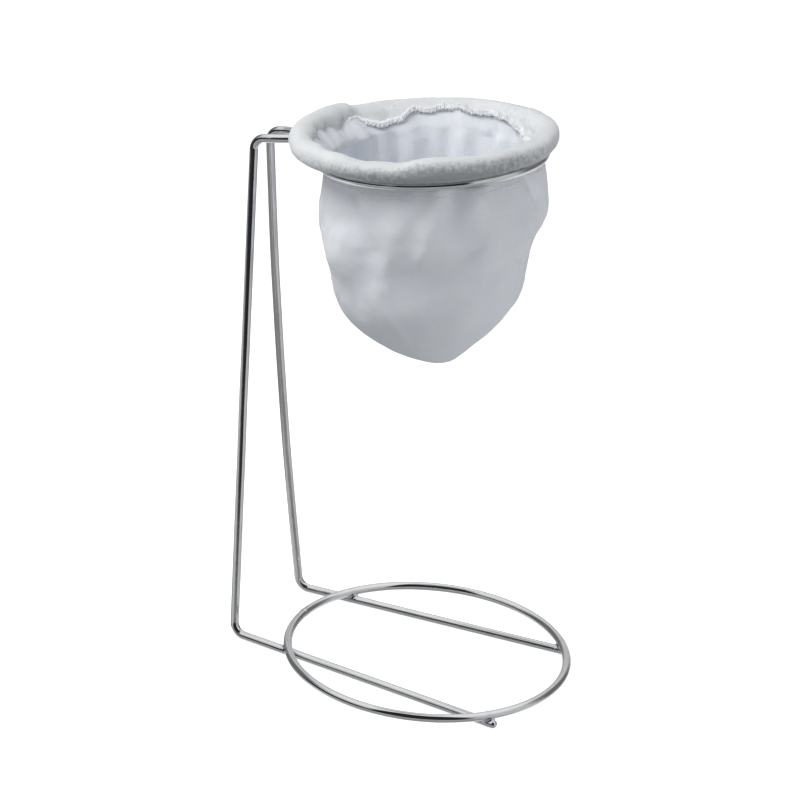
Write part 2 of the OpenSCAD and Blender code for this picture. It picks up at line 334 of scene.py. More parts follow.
# ---------------------------------------------------------------- camera
CAM = np.array([0.45324, -0.97314, 0.56865])
fwd = np.array([-0.39145, 0.83193, -0.39329])
side0, up0 = np.array([0.90484, 0.42576, 0.0]), np.array([-0.16745, 0.35587, 0.91942])
ROLL = 0.0763
side = math.cos(ROLL) * side0 + math.sin(ROLL) * up0
up = math.cos(ROLL) * up0 - math.sin(ROLL) * side0
cam = bpy.data.objects.new("camera", bpy.data.cameras.new("camera"))
cam.data.lens, cam.data.sensor_width, cam.data.clip_start, cam.data.clip_end = 135, 36, 0.05, 60
m = Matrix.Identity(4)
for i in range(3):
    m[i][0], m[i][1], m[i][2], m[i][3] = side[i], up[i], -fwd[i], CAM[i]
cam.matrix_world = m
scene.collection.objects.link(cam)
scene.camera = cam


# ---------------------------------------------------------------- materials
class Mat:
    def __init__(self, name):
        self.m = bpy.data.materials.new(name)
        self.m.use_nodes = True
        self.t = self.m.node_tree
        self.t.nodes.clear()
        self.out = self.n("ShaderNodeOutputMaterial")
        self.b = self.n("ShaderNodeBsdfPrincipled")
        self.link(self.b, "BSDF", self.out, "Surface")

    def n(self, kind, **kw):
        node = self.t.nodes.new(kind)
        for k, v in kw.items():
            if k in node.inputs.keys():
                node.inputs[k].default_value = v
            else:
                setattr(node, k, v)
        return node

    def link(self, a, x, b, y):
        self.t.links.new(a.outputs[x], b.inputs[y])

    def uv(self, scale):
        u = self.n("ShaderNodeUVMap", uv_map="UVMap")
        mp = self.n("ShaderNodeMapping")
        mp.inputs["Scale"].default_value = scale
        self.link(u, "UV", mp, "Vector")
        return mp

    def space(self, scale):
        u = self.n("ShaderNodeTexCoord")
        mp = self.n("ShaderNodeMapping")
        mp.inputs["Scale"].default_value = scale
        self.link(u, "Object", mp, "Vector")
        return mp

    def noise(self, vec, scale, detail=2.0, rough=0.5):
        t = self.n("ShaderNodeTexNoise")
        t.inputs["Scale"].default_value = scale
        t.inputs["Detail"].default_value = detail
        t.inputs["Roughness"].default_value = rough
        self.link(vec, "Vector", t, "Vector")
        return t

    def ramp(self, src, socket, a, b, pa=0.0, pb=1.0):
        r = self.n("ShaderNodeValToRGB")
        r.color_ramp.elements[0].position, r.color_ramp.elements[1].position = pa, pb
        r.color_ramp.elements[0].color, r.color_ramp.elements[1].color = (*a, 1), (*b, 1)
        self.link(src, socket, r, "Fac")
        return r

    def rng(self, src, socket, a, b, lo=0.0, hi=1.0):
        r = self.n("ShaderNodeMapRange")
        r.inputs["From Min"].default_value, r.inputs["From Max"].default_value = lo, hi
        r.inputs["To Min"].default_value, r.inputs["To Max"].default_value = a, b
        self.link(src, socket, r, "Value")
        return r

    def bump(self, src, socket, strength, distance, after=None):
        b = self.n("ShaderNodeBump")
        b.inputs["Strength"].default_value, b.inputs["Distance"].default_value = strength, distance
        self.link(src, socket, b, "Height")
        if after is not None:
            self.link(after, "Normal", b, "Normal")
        return b

    def set(self, **kw):
        for k, v in kw.items():
            self.b.inputs[k.replace("_", " ")].default_value = v


def chrome(name, rough=(0.05, 0.11), tone=((0.75, 0.755, 0.76), (0.81, 0.815, 0.82)), lines=0.25, uv=True):
    k = Mat(name)
    k.set(Metallic=1.0)
    big = k.noise(k.space((1, 1, 1)), 160, 3)
    col = k.ramp(big, "Fac", *tone, 0.35, 0.65)
    k.link(col, "Color", k.b, "Base Color")
    fine = k.noise(k.space((1, 1, 1)), 900, 4, 0.6)
    rr = k.rng(fine, "Fac", rough[0], rough[1], 0.3, 0.7)
    k.link(rr, "Result", k.b, "Roughness")
    if uv:  # drawn lines run along the wire under the plating
        drawn = k.noise(k.uv((60, 2200, 1)), 1.0, 3, 0.55)
    else:
        drawn = k.noise(k.space((1, 1, 1)), 1300, 3)
    b1 = k.bump(drawn, "Fac", lines, 0.00003)
    b2 = k.bump(big, "Fac", 0.25, 0.00006, b1)
    k.link(b2, "Normal", k.b, "Normal")
    return k.m


CHROME = chrome("chromed_wire")
WELD = chrome("chromed_weld", (0.07, 0.15), ((0.70, 0.71, 0.73), (0.78, 0.79, 0.81)), 0.12, uv=False)
HOOP = chrome("rim_hoop_wire", (0.18, 0.32), ((0.55, 0.56, 0.57), (0.68, 0.69, 0.70)), 0.4, uv=False)


def cotton(name, light, dark, weave=0.35, nap=0.5, sheen=0.35, patch=60, grain=0, thin=0.0, painted_shade=None):
    """Brushed cotton: thread grid, slubs, a soft nap, faint tone changes and, where given, a patch of painted shade."""
    k = Mat(name)
    k.set(Roughness=0.92, Sheen_Weight=sheen, Sheen_Roughness=0.45, Specular_IOR_Level=0.18)
    if thin:  # light passes through the single layer of cloth
        k.set(Subsurface_Weight=thin, Subsurface_Scale=0.004)
        k.b.inputs["Subsurface Radius"].default_value = (1, 1, 1)
    k.b.inputs["Sheen Tint"].default_value = (0.95, 0.96, 1.0, 1)
    patches = k.noise(k.space((1, 1, 1)), patch, 4, 0.55)
    fibre = k.noise(k.space((1, 1, 1)), 1500, 4, 0.7)
    slub = k.noise(k.uv((160, 1500, 1)), 1.0, 3, 0.6)
    mixed = k.n("ShaderNodeMath", operation="ADD")
    k.link(patches, "Fac", mixed, 0)
    half = k.n("ShaderNodeMath", operation="MULTIPLY")
    half.inputs[1].default_value = 0.35
    k.link(slub, "Fac", half, 0)
    k.link(half, "Value", mixed, 1)
    fib = k.n("ShaderNodeMath", operation="MULTIPLY")
    fib.inputs[1].default_value = 0.25
    k.link(fibre, "Fac", fib, 0)
    tot = k.n("ShaderNodeMath", operation="ADD")
    k.link(mixed, "Value", tot, 0)
    k.link(fib, "Value", tot, 1)
    col = k.ramp(tot, "Value", dark, light, 0.55, 1.0)
    if painted_shade:  # painted shade: the outside of the roll is darkened on its front face and underside, where shade falls: middle and half size on the cloth, strength
        (u0, v0), (du_, dv_), depth = painted_shade
        spot = k.uv((1 / du_, 1 / dv_, 0))
        spot.inputs["Location"].default_value = (-u0 / du_, -v0 / dv_, 0)
        far = k.n("ShaderNodeVectorMath", operation="LENGTH")
        k.link(spot, "Vector", far, 0)
        ragged = k.n("ShaderNodeMath", operation="ADD")
        k.link(far, "Value", ragged, 0)
        k.link(k.rng(k.noise(k.space((1, 1, 1)), 650, 3, 0.6), "Fac", -0.24, 0.24, 0.3, 0.7), "Result", ragged, 1)
        grey = k.rng(ragged, "Value", depth, 0.0, 0.35, 1.05)
        dim = k.n("ShaderNodeMix", data_type="RGBA", blend_type="MULTIPLY")
        k.t.links.new(grey.outputs["Result"], dim.inputs[0])
        k.t.links.new(col.outputs["Color"], dim.inputs[6])
        # the dark grey of the painted shade, mixed in by the mask above
        dim.inputs[7].default_value = (0.10, 0.12, 0.13, 1)
        k.t.links.new(dim.outputs[2], k.b.inputs["Base Color"])
    else:
        k.link(col, "Color", k.b, "Base Color")
    weft = k.n("ShaderNodeTexWave", wave_type="BANDS", bands_direction="Y")
    weft.inputs["Scale"].default_value = 1.0
    weft.inputs["Distortion"].default_value = 1.2
    weft.inputs["Detail"].default_value = 2.0
    weft.inputs["Detail Scale"].default_value = 0.4
    k.link(k.uv((430, 430, 1)), "Vector", weft, "Vector")
    warp = k.n("ShaderNodeTexWave", wave_type="BANDS", bands_direction="X")
    warp.inputs["Scale"].default_value = 1.0
    warp.inputs["Distortion"].default_value = 1.0
    warp.inputs["Detail"].default_value = 2.0
    warp.inputs["Detail Scale"].default_value = 0.4
    k.link(k.uv((430, 430, 1)), "Vector", warp, "Vector")
    b = k.bump(weft, "Fac", weave, 0.00009)
    b = k.bump(warp, "Fac", weave * 0.6, 0.00007, b)
    b = k.bump(slub, "Fac", weave, 0.00012, b)
    b = k.bump(fibre, "Fac", nap, 0.00018, b)
    if grain:  # raised nap in small tufts
        tufts = k.noise(k.space((1, 1, 1)), grain, 3, 0.6)
        b = k.bump(tufts, "Fac", 0.55, 0.0005, b)
    k.link(b, "Normal", k.b, "Normal")
    return k.m


COTTON = cotton("bag_flannel", (0.875, 0.901, 0.941), (0.816, 0.842, 0.891), 0.30, 0.35, 0.25, thin=0.35)
# the rim's cloth gets painted shade over the front face and underside of the roll, at the front
RIM = cotton("rim_flannel", (0.79, 0.805, 0.805), (0.69, 0.705, 0.71), 0.10, 0.75, 0.35, grain=650,
             painted_shade=((0.1040, 0.0096), (0.056, 0.0090), 0.58))


def thread_mat(name, light, dark):
    k = Mat(name)
    k.set(Roughness=0.85, Sheen_Weight=0.5, Sheen_Roughness=0.4, Specular_IOR_Level=0.2)
    fluff = k.noise(k.space((1, 1, 1)), 1800, 4, 0.7)
    col = k.ramp(fluff, "Fac", dark, light, 0.3, 0.7)
    k.link(col, "Color", k.b, "Base Color")
    twist = k.n("ShaderNodeTexWave", wave_type="BANDS", bands_direction="DIAGONAL")
    twist.inputs["Scale"].default_value = 1.0
    twist.inputs["Distortion"].default_value = 0.6
    k.link(k.uv((500, 500, 1)), "Vector", twist, "Vector")
    b = k.bump(twist, "Fac", 0.4, 0.0001)
    b = k.bump(fluff, "Fac", 0.6, 0.00012, b)
    k.link(b, "Normal", k.b, "Normal")
    return k.m


THREAD = thread_mat("white_cotton_thread", (0.97, 0.975, 0.98), (0.90, 0.91, 0.92))
STITCH = thread_mat("stitching_thread", (0.94, 0.95, 0.97), (0.86, 0.87, 0.90))


# ---------------------------------------------------------------- chromed wires
shift = np.array([BASE_X, 0, 0])
path = filleted(FRAME_CORNERS) + shift
# A hand-bent wire is never quite straight: a few hundredths of a millimetre on the long uprights.
zz = path[:, 2]
bend = np.where((zz > 15) & (zz < 190), np.sin((zz - 15) / 175 * math.pi) ** 2, 0)
sgn = np.sign(path[:, 1])
path[:, 0] += bend * (0.05 * np.sin(zz / 17 + sgn) + 0.03 * np.sin(zz / 7.3 + 2 * sgn))
path[:, 1] += bend * (0.05 * np.sin(zz / 21 + 3 * sgn) + 0.03 * np.sin(zz / 9.1 + sgn))
V, F, T = tube(path, WIRE_R, seg=32, round_end=1.25)
frame_wire = build("bent_frame_wire", V, F, T, "stand", CHROME, ["frame_wire"])

th = np.linspace(0, TAU, 300, endpoint=False)
base_pts = np.stack([BASE_X + BASE_RING_R * np.cos(th), BASE_RING_R * np.sin(th), np.full_like(th, BASE_RING_Z)], 1)
V, F, T = tube(base_pts, WIRE_R, closed=True, seg=32)
base_hoop = build("base_hoop_wire", V, F, T, "stand", CHROME, ["base_ring"])

ring_pts = at(RING, RING_R, th, 0.0)
V, F, T = tube(ring_pts, WIRE_R, closed=True, seg=32)
ring_wire = build("top_ring_wire", V, F, T, "stand", CHROME, ["upper_ring"])


def butt(points, radius, centre_share):
    """A short swelling round a wire, where its two ends were welded and ground."""
    n = len(points)
    t = np.linspace(-1, 1, n)
    r = radius - 0.06 + 0.22 * np.exp(-(t / 0.42) ** 2) + 0.02 * np.sin(9 * t + centre_share)
    return tube(points, r, seg=28, round_end=0.3)


a = np.radians(np.linspace(177.2, 182.8, 15))
V, F, T = butt(np.stack([BASE_X + BASE_RING_R * np.cos(a), BASE_RING_R * np.sin(a), np.full_like(a, BASE_RING_Z)], 1), WIRE_R, 0)
build("base_hoop_butt_weld", V, F, T, "stand", WELD, ["base_ring_joint"])
a = np.radians(np.linspace(132.1, 139.5, 15))
V, F, T = butt(at(RING, RING_R, a, 0.0), WIRE_R, 2)
build("top_ring_butt_weld", V, F, T, "stand", WELD, ["upper_ring_joint"])


def line_distance(p, a, b):
    t = np.clip(((p - a) @ (b - a)) / ((b - a) @ (b - a)), 0, 1)
    return np.linalg.norm(p - (a + t[..., None] * (b - a)), axis=-1)


def wobble(p, seed):
    q = p * 1.9 + seed
    return 0.02 * (np.sin(q[..., 0] * 1.3 + 2 * np.sin(q[..., 1])) + np.sin(q[..., 1] * 1.7 + q[..., 2] * 2.1))


def crossing_weld(leg, back):
    sign, mid_y, k, foot_x, tip_x = leg
    foot = np.array([-foot_x, sign * (mid_y - k * foot_x), 1.7]) + shift
    tip = np.array([tip_x, sign * (mid_y + k * tip_x), 1.7]) + shift
    qa, qb, qc = 1 + k * k, 2 * mid_y * k, mid_y**2 - BASE_RING_R**2
    x = (-qb + (-1 if back else 1) * math.sqrt(qb * qb - 4 * qa * qc)) / (2 * qa)
    c = np.array([x + BASE_X, sign * (mid_y + k * x), 3.28])

    def f(p):
        d1 = line_distance(p, foot, tip) - WIRE_R
        ring = np.hypot(np.hypot(p[..., 0] - BASE_X, p[..., 1]) - BASE_RING_R, p[..., 2] - BASE_RING_Z) - WIRE_R
        r = np.linalg.norm((p - c) * np.array([1, 1, 0.8]), axis=-1)
        return smin(d1, ring, 1.25) - 0.03 + wobble(p, sign * 3 + back) * smooth(r, 4, 1) + 0.13 * np.maximum(0, r - 2.3) ** 2

    V, F, T = surface_net(f, c - np.array([7.2, 7.2, 6.4]), c + np.array([7.2, 7.2, 6.4]), 0.3)
    return V, F, T


V, F, T = join([crossing_weld(leg, back) for leg in LEGS for back in (False, True)])
V[:, 2] = np.maximum(V[:, 2], 0.15)
build("base_crossing_welds", V, F, T, "stand", WELD, ["base_welds"])

near_nose = path[(path[:, 2] > 200) & (path[:, 0] > -56)]
nose_c = np.array([-42.3, 0, 204.87])


def nose_f(p):
    d1 = np.full(p.shape[:-1], 1e9)
    for a, b in zip(near_nose[:-1], near_nose[1:]):
        d1 = np.minimum(d1, line_distance(p, a, b))
    q = p - RING_O
    x, y, z = q @ RING[1], q @ RING[2], q @ RING[3]
    ring = np.hypot(np.hypot(x, y) - RING_R, z) - WIRE_R
    r = np.linalg.norm((p - nose_c) * np.array([1.0, 0.8, 1]), axis=-1)
    return smin(d1 - WIRE_R, ring, 1.3) - 0.03 + wobble(p, 5) * smooth(r, 4, 1) + 0.15 * np.maximum(0, r - 2.3) ** 2


V, F, T = surface_net(nose_f, nose_c - 7.0, nose_c + 7.0, 0.33)
build("nose_weld_bead", V, F, T, "stand", WELD, ["nose_weld"])


# ---------------------------------------------------------------- the cloth filter
CLOTH = 1.15
PROFILE_S = [0, 1.0, 2.0, 3.2, 5, 8, 13.5, 18.2, 23, 27.7, 32.4, 37.2, 42, 46.8, 51.5, 56.4, 61.2, 66, 70.8, 75.7, 79.2, 81.2, 82]
PROFILE_W = [40.2, 40.3, 40.6, 41.0, 41.5, 42.0, 42.4, 42.7, 42.4, 41.5, 40.2, 38.6, 37.4, 36.8, 36.3, 34.7, 31.5, 27.2, 22.1,
             15.4, 9.4, 4.6, 0.0]
LEAN_S = [0, 10, 20, 35, 43, 53, 65, 73, 78, 82]
LEAN = [0, 0.3, 1.2, 3.4, 3.9, 4.6, 5.0, 4.6, 2.9, 0.2]
# Folds of the bag: [angle, depth] to [angle, depth], height (+ out, - in), half width across, length of the fade at the ends
FOLDS = [
    (-80, 12, -87, 40, 1.2, 4.4, 7), (-60, 3, -67, 27, 1.3, 4.0, 6), (-43, 3, -36, 24, 3.2, 6.0, 7),
    (-8, 24, -12, 31, 1.1, 6.0, 6), (-124, 8, -120, 16, -2.2, 9.0, 5), (-122, 33, -126, 36, 2.3, 8.0, 7),
    (-112, 9, -97, 26, -1.7, 5.0, 6), (-71, 10, -75, 20, -0.5, 3.4, 6), (-54, 6, -52, 20, -1.7, 5.5, 7),
    (-2, 6, 6, 15, -2.2, 3.4, 5), (-18, 35, -3, 35, -1.3, 3.6, 4), (-2, 40, 0, 49, 1.2, 3.4, 4),
    (-94, 45, -83, 60, 0.9, 4.0, 7), (-112, 46, -112, 52, -0.7, 5.0, 6), (-132, 44, -132, 47, 0.9, 3.6, 4),
    (18, 3, 22, 24, 1.3, 4.0, 7), (35, 5, 33, 33, -1.3, 4.5, 7), (52, 3, 54, 28, 1.3, 3.8, 7), (70, 4, 72, 20, -1.2, 4.2, 7),
    (83, 3, 80, 30, 1.3, 4.0, 7), (97, 4, 95, 38, -1.2, 3.8, 7), (110, 3, 112, 26, 1.2, 4.2, 7),
    (124, 4, 121, 30, -1.5, 3.8, 7), (137, 3, 139, 32, 1.4, 4.0, 7), (166, 4, 163, 24, 1.1, 4.0, 6),
    (178, 5, 176, 34, -1.3, 4.4, 7), (192, 3, 196, 28, 1.3, 4.2, 7), (206, 6, 208, 22, -1.1, 4.0, 6),
    (218, 4, 216, 15, 0.9, 4.0, 6), (60, 40, 75, 52, 0.9, 5.0, 7), (100, 44, 104, 58, -0.9, 5.5, 7),
    (172, 42, 160, 55, 0.9, 5.0, 7), (200, 44, 205, 56, -0.8, 5.0, 7), (25, 42, 30, 55, 0.8, 5.0, 7),
]
# Ridges that the gathered cloth makes towards the middle, through the neck: [angle, height, half width in degrees]
RIDGES = [(160, 1.8, 5.0), (146, 0.7, 3.5), (130, 2.3, 5.5), (113, 0.8, 3.5), (98, 2.2, 5.0), (84, 0.7, 3.0), (71, 2.0, 5.0),
          (56, 1.0, 3.5), (44, 1.2, 4.0), (18, 0.7, 5.0), (-12, 0.5, 5.0), (-47, 0.6, 5.0), (-80, 0.7, 4.5), (-108, 0.7, 5.0),
          (-140, 0.9, 5.5), (-171, 0.9, 5.0)]
# Pleats in the hollow at the left, above the ring
HOLLOW = [(-158, 1.4, 3.0), (-170, 2.0, 2.4), (178, 1.6, 3.2), (166, 1.5, 2.6)]
cloth_noise = Noise(11, 26)
fine_noise = Noise(12, 90, 128)
tiny_noise = Noise(13, 230, 256)


def folds(th, s):
    """Height of the folds over angle th (degrees) and depth s."""
    total = np.zeros(np.broadcast(th, s).shape)
    for a0, s0, a1, s1, height, width, fade in FOLDS:
        along = np.clip((s - s0) / (s1 - s0 + 1e-9), 0, 1)
        centre = a0 + (a1 - a0) * along
        across = ((th - centre + 180) % 360 - 180) * math.radians(1) * 40
        if abs(a1 - a0) > abs(s1 - s0):  # a fold that runs round, not down
            lo, hi = min(a0, a1), max(a0, a1)
            t = (th - lo + 180) % 360 - 180
            across = s - (s0 + s1) / 2
            end = np.maximum(0, np.maximum(-t, t - (hi - lo))) * math.radians(1) * 40
        else:
            end = np.maximum(0, np.maximum(s0 - s, s - s1))
        total += height * np.exp(-(across / width) ** 2) * np.exp(-(end / fade) ** 2)
    return total


def ridges(th, marks=RIDGES):
    total = np.zeros(np.shape(th))
    for a0, height, width in marks:
        total = total + height * np.exp(-(((th - a0 + 180) % 360 - 180) / width) ** 2)
    return total


def bag_radius(th, s):
    """Outer radius of the bag at angle th (degrees) and depth s below the ring."""
    w = pchip(PROFILE_S, PROFILE_W, np.clip(s, 0, 82))
    # at the rear the cloth drops straight from the neck before it fills out
    rear = smooth(th % 360, 28, 60) * smooth(th % 360, 168, 140)
    hang = 40.2 - 4.2 * (1 - np.exp(-np.maximum(s, 0) / 13.0))
    w = np.where(s < 40, w + (hang - w) * rear * smooth(s, 38, 14), w)
    # the waist shows at the sides only: the front comes down evenly
    front = smooth(th % 360, 205, 232) * smooth(th % 360, 352, 325)
    w = w + 1.0 * front * np.exp(-(((s - 44) / 8.5) ** 2))
    u = (th % 360) / 360
    live = smooth(s, -1.0, 3.0) * smooth(s, 82, 66)
    w = w + 1.25 * live * folds(th, s) * (1 - 0.5 * rear * smooth(s, 20, 8))
    w = w - ridges(th) * smooth(s, 30, 7)
    w = w + live * (0.45 * cloth_noise(u, s / 13.0) + 0.10 * fine_noise(u, s / 3.2))
    w = w - 0.55 * live * np.exp(-(((th - SEAM + 180) % 360 - 180) * 0.7 / 1.1) ** 2)
    # gathered at the ring, where the rim's wider cloth is drawn together: folds there only go inward
    gather = 0.55 * (0.5 + 0.5 * np.sin(np.radians(th) * 23 + 2.2 * np.sin(np.radians(th) * 3 + 1) + 1.4 * np.sin(np.radians(th) * 7)))
    w = w - gather * np.exp(-((s - 1) / 6.5) ** 2) * (0.55 + 0.45 * np.sin(np.radians(th) * 2 + 0.6))
    clear = 42.4 - np.sqrt(np.maximum(2.0**2 - np.clip(np.abs(s), 0, 2.0) ** 2, 0))
    return np.where(np.abs(s) < 2.0, np.minimum(w, clear), w)


def bag_surface(th, s):
    """Points of the bag's outer surface below the ring plane; th in degrees, s at least 0."""
    w = bag_radius(th, s)
    return at(RING, w, np.radians(th), -s, -pchip(LEAN_S, LEAN, np.clip(s, 0, 82)))


def bag_point_all(th, q):
    """q from -1 (top edge, inside the rim) to 0 (ring plane), then depth in mm."""
    th, q = np.broadcast_arrays(np.asarray(th, float), np.asarray(q, float))
    low = bag_surface(th, np.maximum(q, 0))
    t = np.clip(-q, 0, 1)[..., None]
    a = np.radians(th)
    u = (th % 360) / 360
    r0 = bag_radius(th, np.zeros_like(th))
    wave = 0.35 * np.sin(a * 17 + 1.5 * np.sin(a * 4)) + 0.25 * cloth_noise(u, 7.5)
    c0 = at(RING, r0, a, 0.0)
    hollow = ridges(th, HOLLOW)
    rear = smooth(th % 360, 28, 60) * smooth(th % 360, 168, 140)
    c1 = at(RING, r0 + 0.05 + 0.55 * rear - 0.5 * hollow, a, 1.2 + 0.5 * rear)
    left = smooth(th % 360, 148, 162) * smooth(th % 360, 222, 204)
    c2 = at(HEM, 43.2 - 0.5 * rear - 1.5 * left + 0.5 * wave - 1.25 * ridges(th) - 1.2 * hollow, a, -2.6)
    c3 = at(HEM, 45.0 + 0.3 * wave - 0.6 * ridges(th), a, 1.6)
    high = (1 - t) ** 3 * c0 + 3 * (1 - t) ** 2 * t * c1 + 3 * (1 - t) * t**2 * c2 + t**3 * c3
    return np.where((q < 0)[..., None], high, low)


NT = 384
tb = np.linspace(-180, 180, NT, endpoint=False)
rows = np.concatenate([np.linspace(-1, 0, 13)[:-1], np.linspace(0, 3.2, 9)[:-1], np.linspace(3.2, 62, 62)[:-1],
                       62 + 19.6 * np.sin(np.linspace(0, math.pi / 2, 24))])
TH, Q = np.meshgrid(tb, rows, indexing="ij")
outer = bag_point_all(TH, Q)
du = np.roll(outer, -1, 0) - np.roll(outer, 1, 0)
dv = np.gradient(outer, axis=1)
nor = np.cross(du, dv)
nor /= np.maximum(np.linalg.norm(nor, axis=2), 1e-9)[..., None]
centre = outer.mean(0)[None]
nor *= np.sign(np.einsum("ijk,ijk->ij", nor, outer - centre).mean())
inner = outer - CLOTH * nor
tip_axis = at(RING, 0.0, 0.0, -82.0, -LEAN[-1])
tip_in = tip_axis + CLOTH * RING[3]
# near the tip the inner rows keep their share of the outer radius, so that they cannot cross the axis
share = np.clip((81.0 - rows) / 6.0, 0, 1)[None, :, None]
axis_pts = at(RING, 0.0, 0.0, -np.maximum(rows, 0) + CLOTH, -pchip(LEAN_S, LEAN, np.clip(rows, 0, 82)))[None]
scaled = axis_pts + (outer - CLOTH * -RING[3] - axis_pts) * 0.93
inner = inner * share + scaled * (1 - share)
section = np.concatenate([inner[:, ::-1], outer], axis=1)  # inner tip … inner top, outer top … outer tip
nv = section.shape[1]
mean_r = 40.0 * MM
us = np.radians(np.linspace(0, 360, NT + 1)) * mean_r
length = np.concatenate([[0], np.cumsum(np.linalg.norm(np.diff(section[0], axis=0), axis=1))]) * MM
quads, uv = grid(NT, nv, True, False, us, length)
V = section.reshape(-1, 3)
V = np.vstack([V, tip_in, tip_axis])
i = np.arange(NT)
j = (i + 1) % NT
tri_in = np.stack([j * nv, i * nv, np.full(NT, len(V) - 2)], 1)
tri_out = np.stack([i * nv + nv - 1, j * nv + nv - 1, np.full(NT, len(V) - 1)], 1)
tuv = lambda v0: np.stack([np.stack([us[i], np.full(NT, v0)], 1), np.stack([us[i + 1], np.full(NT, v0)], 1),
                           np.stack([us[i], np.full(NT, v0 + 0.0008)], 1)], 1)
bag = build("cloth_bag", V, [quads, tri_in, tri_out], [uv, tuv(0.0), tuv(length[-1])], "filter", COTTON,
            ["filter_bag"])

# ---- the rolled rim: a strip of the cloth turned over the hoop, from under the roll out, over the top and down inside
NR = 480
tr = np.linspace(-180, 180, NR, endpoint=False)
TOP = around([-180, -150, -125, -108, -98, -88, -76, -66, -56, -46, -36, -26, -14, 0, 14, 30, 50, 70, 90, 110, 130, 145, 152, 160, 170],
             [4.4, 4.3, 4.2, 4.0, 3.3, 2.7, 2.8, 4.0, 4.7, 4.4, 3.9, 4.1, 3.8, 3.6, 3.9, 4.1, 3.6, 3.4, 3.2, 3.0, 2.9, 2.9, 3.1, 4.5, 4.5], tr)
OUT = around([-180, -130, -95, -75, -60, -30, 0, 40, 90, 140, 160], [4.1, 4.15, 4.2, 4.1, 3.9, 4.0, 4.15, 4.15, 4.15, 4.15, 4.1], tr)
INN = around([-180, -160, -140, -110, -80, -60, -30, 0, 40, 90, 130, 150, 154, 158, 163, 170],
             [5.8, 5.4, 4.8, 4.6, 4.6, 4.0, 4.2, 4.6, 4.2, 4.1, 4.1, 4.1, 4.5, 5.3, 5.9, 6.1], tr)
BOT = around([-180, -90, 0, 90], [4.1, 4.15, 4.15, 4.1], tr)
SQUARE = around([-180, -120, -90, -60, -30, 0, 40, 90, 150, 165], [2.0, 2.0, 2.1, 2.7, 2.8, 2.5, 2.2, 2.1, 2.1, 2.0], tr)
END = around([-180, -165, -150, -140, -120, -100, -80, -60, -40, -20, 0, 10, 20, 32, 41, 50, 60, 66, 75, 84, 90, 98, 106, 115, 122,
              127, 130.5, 133.5, 137, 140, 143.5, 147, 150.5, 154, 158, 162, 166, 172],
             [-6.0, -6.0, -5.5, -3.0, -1.2, -2.0, -0.8, -1.8, -0.6, -1.6, -2.4, -3.6, -4.4, -4.6, -4.2, -2.8, -1.4, -0.5, 0.3, -0.3,
              -0.2, 1.4, 0.6, 0.0, 0.4, -0.6, -2.1, -2.8, -3.2, -3.6, -3.9, -3.2, -2.3, -1.3, -0.5, -0.9, -3.0, -6.0], tr)
edge_noise = Noise(23, 50)
END = END + 0.40 * edge_noise((tr % 360) / 360, 0.5) + 0.22 * Noise(24, 110)((tr % 360) / 360, 0.5)
LAYER = smooth(np.where(tr < 0, tr + 360, tr), 153, 158.5) * smooth(np.where(tr < 0, tr + 360, tr), 225, 185)
# The bag's inner face above the ring, in the rim's own frame: its radius at each height, for each angle of the rim.
# Where the strip hangs inside the bag it follows that face.
q3 = inner[:, :26] - HEM_O
face_r = np.hypot(q3 @ HEM[1], q3 @ HEM[2])
face_a = np.degrees(np.arctan2(q3 @ HEM[2], q3 @ HEM[1]))
face_z = q3 @ HEM[3]
near_r, near_z = np.empty((NR, 26)), np.empty((NR, 26))
for j_ in range(26):
    near_r[:, j_] = np.interp(tr, *[v_[np.argsort(face_a[:, j_])] for v_ in (face_a[:, j_], face_r[:, j_])], period=360)
    near_z[:, j_] = np.interp(tr, *[v_[np.argsort(face_a[:, j_])] for v_ in (face_a[:, j_], face_z[:, j_])], period=360)
INSIDE = smooth(tr, -30, 5) * smooth(tr, 158, 150)
rim_noise = Noise(21, 34)
nap_noise = Noise(22, 170, 128)
NS = 50
line_out, line_in, ends = [], [], []
for k, t in enumerate(tr):
    ze = END[k]
    top = TOP[k] + 0.75 * LAYER[k]
    end_angle = 180.0 if ze <= 0 else 180 - math.degrees(math.asin(min(ze / top, 0.8)))
    f = np.radians(np.linspace(-132, end_angle, 180))
    c, s_ = np.cos(f), np.sin(f)
    p = 2.0 / SQUARE[k]
    aa = np.where(c > 0, OUT[k] + 0.35 * LAYER[k], INN[k]) * np.sign(c) * np.abs(c) ** p
    bb = np.where(s_ > 0, top, BOT[k]) * np.sign(s_) * np.abs(s_) ** p
    if ze < 0:
        m_ = 16
        q = np.linspace(0, 1, m_ + 1)[1:]
        tail = -ze
        aa = np.concatenate([aa, -INN[k] - (0.35 * np.sin(q * math.pi) if tail < 5 else 0.9 * q**1.5) * min(1, tail / 3)])
        bb = np.concatenate([bb, -q * tail])
    if INSIDE[k] > 0:
        room = np.interp(bb, near_z[k, ::-1], near_r[k, ::-1]) - HEM_R - CLOTH - 0.35
        inner_side = np.arange(len(aa)) > 135
        aa = np.where(inner_side, aa + INSIDE[k] * smooth(bb, 2.6, 0.6) * (np.minimum(aa, room) - aa), aa)
    d = np.concatenate([[0], np.cumsum(np.hypot(np.diff(aa), np.diff(bb)))])
    g = np.linspace(0, d[-1], NS)
    line_out.append(np.stack([np.interp(g, d, aa), np.interp(g, d, bb)], 1))
line_out = np.array(line_out)  # (angle, along, 2)
U = ((tr % 360) / 360)[:, None]
Vn = np.linspace(0, 1, NS)[None]
t2 = np.gradient(line_out, axis=1)
t2 /= np.linalg.norm(t2, axis=2)[..., None]
n2 = np.stack([t2[..., 1], -t2[..., 0]], -1)
if (n2[:, NS // 2, 0] < 0).mean() > 0.5:
    n2 = -n2
bumps = 0.30 * rim_noise(U, Vn * 5.0) + 0.09 * nap_noise(U, Vn * 17.0)
RT = tr[:, None]
# the cut edge flutters a little, mostly inwards
bumps = bumps + (0.35 + 0.35 * edge_noise(U, 3.5)) * smooth(Vn, 0.84, 1.0)
